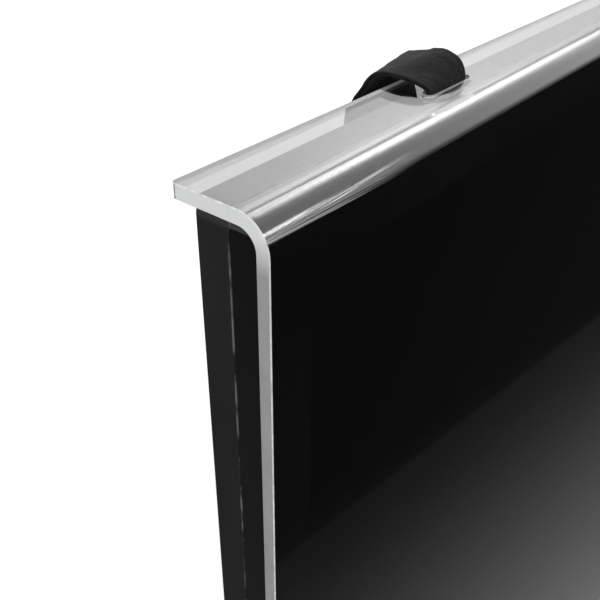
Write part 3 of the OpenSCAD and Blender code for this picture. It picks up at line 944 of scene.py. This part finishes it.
def brushed_webbing(colour, name="brushed_webbing"):
    """Black nylon with a brushed pile: mottled, a little dusty, with a soft sheen."""
    s = Shader(name, sheen_weight=0.2, sheen_roughness=0.5, specular_ior_level=0.2,
               sheen_tint=(0.4, 0.4, 0.42, 1))
    pile = s.noise(1900, detail=5.0, roughness=0.7)
    patch = s.noise(210, detail=3.0, roughness=0.6)
    dust = s.ramp(s.noise(950, detail=1.0), (0.70, 0.0), (0.78, 1.0))
    base = np.array(colour)
    shade = s.ramp(s.math("ADD", s.math("MULTIPLY", pile, 0.5), s.math("MULTIPLY", patch, 0.5)),
                   (0.35, base * 0.45), (0.5, base), (0.68, base * 2.6))
    mix = s.add("ShaderNodeMix", Factor=s.math("MULTIPLY", s.add(
        "ShaderNodeRGBToBW", Color=dust).outputs[0], 0.18))
    mix.data_type = "RGBA"
    s.tree.links.new(shade, mix.inputs["A"])
    mix.inputs["B"].default_value = (0.25, 0.25, 0.25, 1)
    rough = s.bump(pile, 0.12 * MM, 0.9, under=s.bump(patch, 0.4 * MM, 0.5))
    return s.use(base_color=mix.outputs["Result"], normal=rough,
                 roughness=s.map(patch, 0.3, 0.7, 0.78, 0.95))


def grey_lint():
    """Pale lint caught in the pile."""
    s = Shader("grey_lint", roughness=0.9, specular_ior_level=0.1)
    speck = s.noise(800, detail=2.0)
    return s.use(base_color=s.ramp(speck, (0.3, 0.05), (0.7, 0.2)))


def hook_plastic():
    """Moulded nylon hooks: dark, slightly shiny."""
    s = Shader("hook_plastic", specular_ior_level=0.45)
    grain = s.noise(1500, detail=3.0)
    return s.use(base_color=s.ramp(grain, (0.3, 0.014), (0.7, 0.03)),
                 roughness=s.map(grain, 0.3, 0.7, 0.35, 0.55))


def sewing_thread():
    """Twisted polyester thread."""
    s = Shader("sewing_thread", sheen_weight=0.3, sheen_roughness=0.4)
    twist = s.noise(2600, detail=2.0, stretch=(1, 1, 0.35))
    return s.use(base_color=s.ramp(twist, (0.3, 0.018), (0.7, 0.06)),
                 roughness=s.map(twist, 0.3, 0.7, 0.5, 0.75), normal=s.bump(twist, 0.06 * MM, 0.8))


def black_glass():
    """Gloss black screen glass with the faintest cleaning smears."""
    s = Shader("black_glass", ior=1.5, specular_ior_level=0.5)
    smear = s.noise(5.0, detail=4.0, roughness=0.6, stretch=(1, 1, 0.35))
    tint = s.noise(1.6, detail=2.0)
    dark, pale = (0.0022, 0.0022, 0.0025), (0.0032, 0.0032, 0.0036)
    return s.use(base_color=s.ramp(tint, (0.3, dark), (0.7, pale)),
                 roughness=s.map(smear, 0.3, 0.75, 0.015, 0.05))


def gloss_moulding():
    """Gloss black moulding with slight sink and fine scuffs."""
    s = Shader("gloss_moulding", ior=1.5)
    scuff = s.noise(420, detail=4.0, stretch=(1, 1, 0.12))
    sink = s.noise(14, detail=1.0)
    return s.use(base_color=s.ramp(sink, (0.3, 0.0035), (0.7, 0.0055)),
                 roughness=s.map(scuff, 0.35, 0.75, 0.06, 0.12),
                 normal=s.bump(sink, 0.1 * MM, 0.2, under=s.bump(scuff, 0.01 * MM, 0.15)))


def grained_moulding():
    """Matt black moulding with a fine grain and handling marks, and a pale painted highlight along
    the seam.
    """
    s = Shader("grained_moulding", ior=1.5, specular_ior_level=0.4)
    grain = s.cells(1500)
    cloud = s.noise(9, detail=5.0, roughness=0.6)
    rub = s.noise(60, detail=3.0, stretch=(1, 1, 0.2))
    tone = s.math("ADD", s.math("MULTIPLY", cloud, 0.6), s.math("MULTIPLY", rub, 0.4))
    # Painted highlight: a pale broken line up to 0.75 mm from the seam with the bezel, standing in
    # for the light its eased edge catches.
    seam = s.off(s.part("Y"), float(corners("front_bezel")[1][1]))
    seam_highlight = s.times(s.map(seam, 0.5 * MM, 0.75 * MM, 1.0, 0.0),
                   s.map(s.noise(130, detail=4.0), 0.42, 0.62, 0.0, 0.14))
    shade = s.math("ADD", s.map(tone, 0.32, 0.7, 0.010, 0.017), seam_highlight)
    return s.use(base_color=s.grey(shade), roughness=s.map(tone, 0.3, 0.7, 0.44, 0.6),
                 normal=s.bump(grain, 0.10 * MM, 0.35, under=s.bump(cloud, 0.4 * MM, 0.1)))


def closed_foam():
    """Dark foam with small closed cells."""
    s = Shader("closed_foam", specular_ior_level=0.2)
    cell = s.cells(1400)
    return s.use(base_color=s.ramp(cell, (0.0, 0.012), (0.7, 0.045)),
                 roughness=s.map(cell, 0.0, 0.8, 0.8, 0.95), normal=s.bump(cell, 0.2 * MM, 0.8))


def reflector_case():
    """Pale moulded case of the screen module."""
    s = Shader("reflector_case", specular_ior_level=0.4)
    fleck = s.noise(700, detail=3.0)
    cloud = s.noise(6, detail=3.0)
    return s.use(base_color=s.ramp(cloud, (0.3, 0.5), (0.7, 0.6)),
                 roughness=s.map(fleck, 0.3, 0.7, 0.4, 0.6), normal=s.bump(fleck, 0.05 * MM, 0.3))


def zinc_sheet():
    """Zinc-coated sheet steel: crystal spangle and rolling lines."""
    s = Shader("zinc_sheet", metallic=0.95)
    spangle = s.cells(90)
    rolled = s.noise(900, detail=3.0, stretch=(0.04, 1, 1))
    return s.use(base_color=s.ramp(spangle, (0.1, 0.42), (0.8, 0.62)),
                 roughness=s.map(rolled, 0.3, 0.7, 0.28, 0.45),
                 normal=s.bump(rolled, 0.02 * MM, 0.3))


def turned_steel():
    """Yellow-zinc turned steel with lathe marks round its axis."""
    s = Shader("turned_steel", metallic=1.0)
    marks = s.noise(1200, detail=2.0, stretch=(1, 0.1, 1))
    return s.use(base_color=s.ramp(marks, (0.3, (0.42, 0.38, 0.26)), (0.7, (0.62, 0.57, 0.42))),
                 roughness=s.map(marks, 0.3, 0.7, 0.25, 0.42))


def black_oxide():
    """Black oxide on steel, with a little patchy wear."""
    s = Shader("black_oxide", metallic=0.7)
    wear = s.noise(800, detail=4.0)
    return s.use(base_color=s.ramp(wear, (0.35, 0.02), (0.75, 0.09)),
                 roughness=s.map(wear, 0.3, 0.7, 0.3, 0.5), normal=s.bump(wear, 0.03 * MM, 0.4))


NODE_FINISHES = {
    gloss_moulding: ["front_bezel"],
    black_glass: ["screen_glass"],
    grained_moulding: ["rear_cover"],
    closed_foam: ["screen_gasket"],
    reflector_case: ["screen_module"],
    zinc_sheet: ["chassis_plate", "chassis_rail_left", "chassis_rail_right",
                 "chassis_rail_upper", "chassis_rail_lower"],
    turned_steel: ["mount_bosses", "cover_standoffs"],
    black_oxide: ["cover_screws"],
}


class GUARD_OT_panel_finishes(bpy.types.Operator):
    """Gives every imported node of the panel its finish"""
    bl_idname = "guard.panel_finishes"
    bl_label = "Panel finishes"

    def execute(self, context):
        for make, names in NODE_FINISHES.items():
            material = make()
            for name in names:
                mesh = frame["nodes"][name].data
                mesh.materials.clear()
                mesh.materials.append(material)
        return {"FINISHED"}


# ---------------------------------------------------------------- stage

class StageSettings(bpy.types.PropertyGroup):
    lens: bpy.props.FloatProperty(
        name="Lens", description="Focal length on a 36 mm sensor", default=48.06, unit="CAMERA")
    camera_offset: bpy.props.FloatVectorProperty(
        name="Camera place", description="Camera's place from the bend's front left corner",
        default=(-0.1325, -0.1198, 0.1073), subtype="XYZ", size=3)
    sky: brightness("Sky", "Brightness of the studio's white surround", 0.95)
    soft_box: brightness("Soft box", "Brightness of the soft box behind the panel", 3.6)
    strip: brightness("Strip light", "Brightness of the narrow light in front", 11.0)
    side: brightness("Side light", "Brightness of the wide light past the panel's end", 0.8)
    dark: brightness("Dark front", "Brightness of the unlit room in front", 0.008)
    floor_glow: brightness("Floor glow", "Brightness of the floor near the front", 1.5)
    behind: brightness("Dark behind", "Brightness of the room low down behind", 0.08)
    # Painted shade: the floor is drawn darker, by this share, where it is seen through the sheet.
    shade_through_sheet: bpy.props.FloatProperty(
        name="Seen through", description="Share of the floor's tone that shows through the sheet",
        default=0.58, min=0, max=1)
    floor_line: bpy.props.FloatVectorProperty(
        name="Floor line", description="Square to the plane that parts dark front from lit floor",
        default=(0.100, -0.846, 0.523), subtype="XYZ", size=3)


# The camera's own right and its line of sight, in the frame.
CAMERA_RIGHT = (0.6404, -0.7680, 0.0069)
CAMERA_FORWARD = (0.6412, 0.5297, -0.5552)


def direction(azimuth, elevation):
    """A unit vector from degrees: azimuth turns from +X towards +Y, elevation rises to +Z."""
    a, e = math.radians(azimuth), math.radians(elevation)
    return (math.cos(e) * math.cos(a), math.cos(e) * math.sin(a), math.sin(e))


def build_world(settings):
    """A white studio. The camera sees plain white. Soft light comes from a dome that falls off
    below the horizon. Mirror reflections see the same dome with soft lights in it, each a power
    of the cosine of the angle from its middle, and a dark room below the horizon in which a
    plane through the middle parts the unlit front from the faintly lit floor."""
    world = bpy.data.worlds.new("studio")
    world.use_nodes = True
    bpy.context.scene.world = world
    sky = Nodes(world.node_tree)
    where = sky.add("ShaderNodeTexCoord").outputs["Generated"]
    path = sky.add("ShaderNodeLightPath").outputs

    def along(axis):
        node = sky.add("ShaderNodeVectorMath")
        node.operation = "DOT_PRODUCT"
        sky.feed(node.inputs[0], where)
        sky.feed(node.inputs[1], axis)
        return node.outputs["Value"]

    def step(value, edge, low, high, middle=0.0):
        """A smooth step from low to high across a middle, as wide as edge to each side."""
        return sky.map(value, middle - edge, middle + edge, low, high, smooth=True)

    up, front = along((0, 0, 1)), along(settings.floor_line)
    soft = sky.times(step(up, 0.2, 0.3, 1.0, middle=0.1), settings.sky)
    shine = sky.times(step(up, 0.09, 0.3, 1.0, middle=0.06), settings.sky)
    # Azimuth and elevation in degrees, sharpness and strength of each soft light.
    lights = ((26, 35, 48, settings.soft_box), (17, 27, 100, settings.soft_box * 0.35),
              (-44, 22, 500, settings.strip), (60, 28, 20, settings.side))
    for azimuth, elevation, sharpness, strength in lights:
        cosine = sky.math("MAXIMUM", along(direction(azimuth, elevation)), 0.0)
        lobe = sky.times(sky.math("POWER", cosine, sharpness), strength)
        shine = sky.math("ADD", shine, lobe)
    below = sky.math("MAXIMUM", sky.times(front, -1.0), 0.0)
    lit_floor = sky.times(sky.math("POWER", below, 1.6), settings.floor_glow)
    unlit = step(front, 0.004, 0.02, settings.dark)
    room = sky.mix(step(along((0, 1, 0)), 0.03, 0, 1), sky.math("ADD", unlit, lit_floor),
                   settings.behind)
    mirrored = sky.mix(step(up, 0.012, 0, 1), room, shine)
    light = sky.mix(sky.mirror_share(path), soft, mirrored)
    background = sky.tree.nodes["Background"]
    sky.feed(background.inputs["Color"], (1, 1, 1, 1))
    sky.feed(background.inputs["Strength"], sky.mix(path["Is Camera Ray"], light, 1.0))


class GUARD_OT_stage(bpy.types.Operator):
    """Lays the pale floor and sets the surround and the camera"""
    bl_idname = "guard.stage"
    bl_label = "Stage"

    def execute(self, context):
        settings = context.scene.guard_stage
        floor_z, size = PANEL_LOW[2] - 0.5 * MM, 9.0
        floor = make_object("floor", [(x * size, y * size, floor_z) for x, y in (
            (-1, -1), (1, -1), (1, 1), (-1, 1))], [(0, 1, 2, 3)])
        pale = Shader("pale_floor", specular_ior_level=0.15, emission_color=(1, 1, 1, 1))
        cloud = pale.noise(0.8, detail=3.0)
        path = pale.add("ShaderNodeLightPath").outputs
        # Painted shade: seen through the sheet, the floor's tone is darkened by that share.
        tone = pale.math("MULTIPLY", pale.map(cloud, 0.3, 0.7, 0.80, 0.84), pale.map(
            path["Is Transmission Ray"], 0, 1, 1.0, settings.shade_through_sheet))
        pale.use(base_color=pale.grey(tone), roughness=pale.map(cloud, 0.3, 0.7, 0.7, 0.85),
                 emission_strength=pale.math("MULTIPLY", path["Is Camera Ray"], 0.4))
        pale.see_through(pale.mirror_share(path), (1, 1, 1))
        floor.data.materials.append(pale.material)
        build_world(settings)
        camera = bpy.data.cameras.new("camera")
        camera.lens, camera.sensor_width = settings.lens, 36
        camera.clip_start, camera.clip_end = 0.01, 60
        eye = bpy.data.objects.new("camera", camera)
        bpy.context.scene.collection.objects.link(eye)
        right = Vector(CAMERA_RIGHT).normalized()
        forward = Vector(CAMERA_FORWARD)
        forward = (forward - forward.dot(right) * right).normalized()
        turn = Matrix((right, right.cross(forward), -forward)).transposed().to_4x4()
        place = Vector((SHEET_LOW[0], SHEET_FRONT, BEND_Z)) + Vector(settings.camera_offset)
        eye.matrix_world = Matrix.Translation(place) @ turn
        bpy.context.scene.camera = eye
        bpy.context.scene.view_settings.view_transform = "Standard"
        return {"FINISHED"}


# ---------------------------------------------------------------- add-on

class GUARD_PT_sidebar(bpy.types.Panel):
    """Lists the pieces and their sizes"""
    bl_label = "Guard sheet"
    bl_idname = "GUARD_PT_sidebar"
    bl_space_type = "VIEW_3D"
    bl_region_type = "UI"
    bl_category = "Guard"

    def draw(self, context):
        for operator in OPERATORS:
            self.layout.operator(operator.bl_idname)
        for group in SETTINGS:
            box = self.layout.box()
            settings = getattr(context.scene, group)
            for name in settings.bl_rna.properties.keys():
                if name not in ("rna_type", "name"):
                    box.prop(settings, name)


SETTINGS = {"guard_sheet": GuardSheetSettings, "guard_straps": StrapSettings,
            "guard_stage": StageSettings}
OPERATORS = (GUARD_OT_stage, GUARD_OT_sheet, GUARD_OT_strap_loops, GUARD_OT_strap_tails,
             GUARD_OT_hook_tape, GUARD_OT_stitching, GUARD_OT_loop_pads, GUARD_OT_panel_finishes)


def register():
    for cls in (*SETTINGS.values(), *OPERATORS, GUARD_PT_sidebar):
        bpy.utils.register_class(cls)
    for name, cls in SETTINGS.items():
        setattr(bpy.types.Scene, name, bpy.props.PointerProperty(type=cls))


def unregister():
    for name in SETTINGS:
        delattr(bpy.types.Scene, name)
    for cls in reversed((*SETTINGS.values(), *OPERATORS, GUARD_PT_sidebar)):
        bpy.utils.unregister_class(cls)


def main():
    register()
    bpy.ops.guard.stage()
    bpy.ops.guard.sheet()
    bpy.ops.guard.strap_loops()
    bpy.ops.guard.strap_tails()
    bpy.ops.guard.hook_tape()
    bpy.ops.guard.stitching()
    bpy.ops.guard.loop_pads()
    bpy.ops.guard.panel_finishes()


if __name__ == "__main__":
    main()
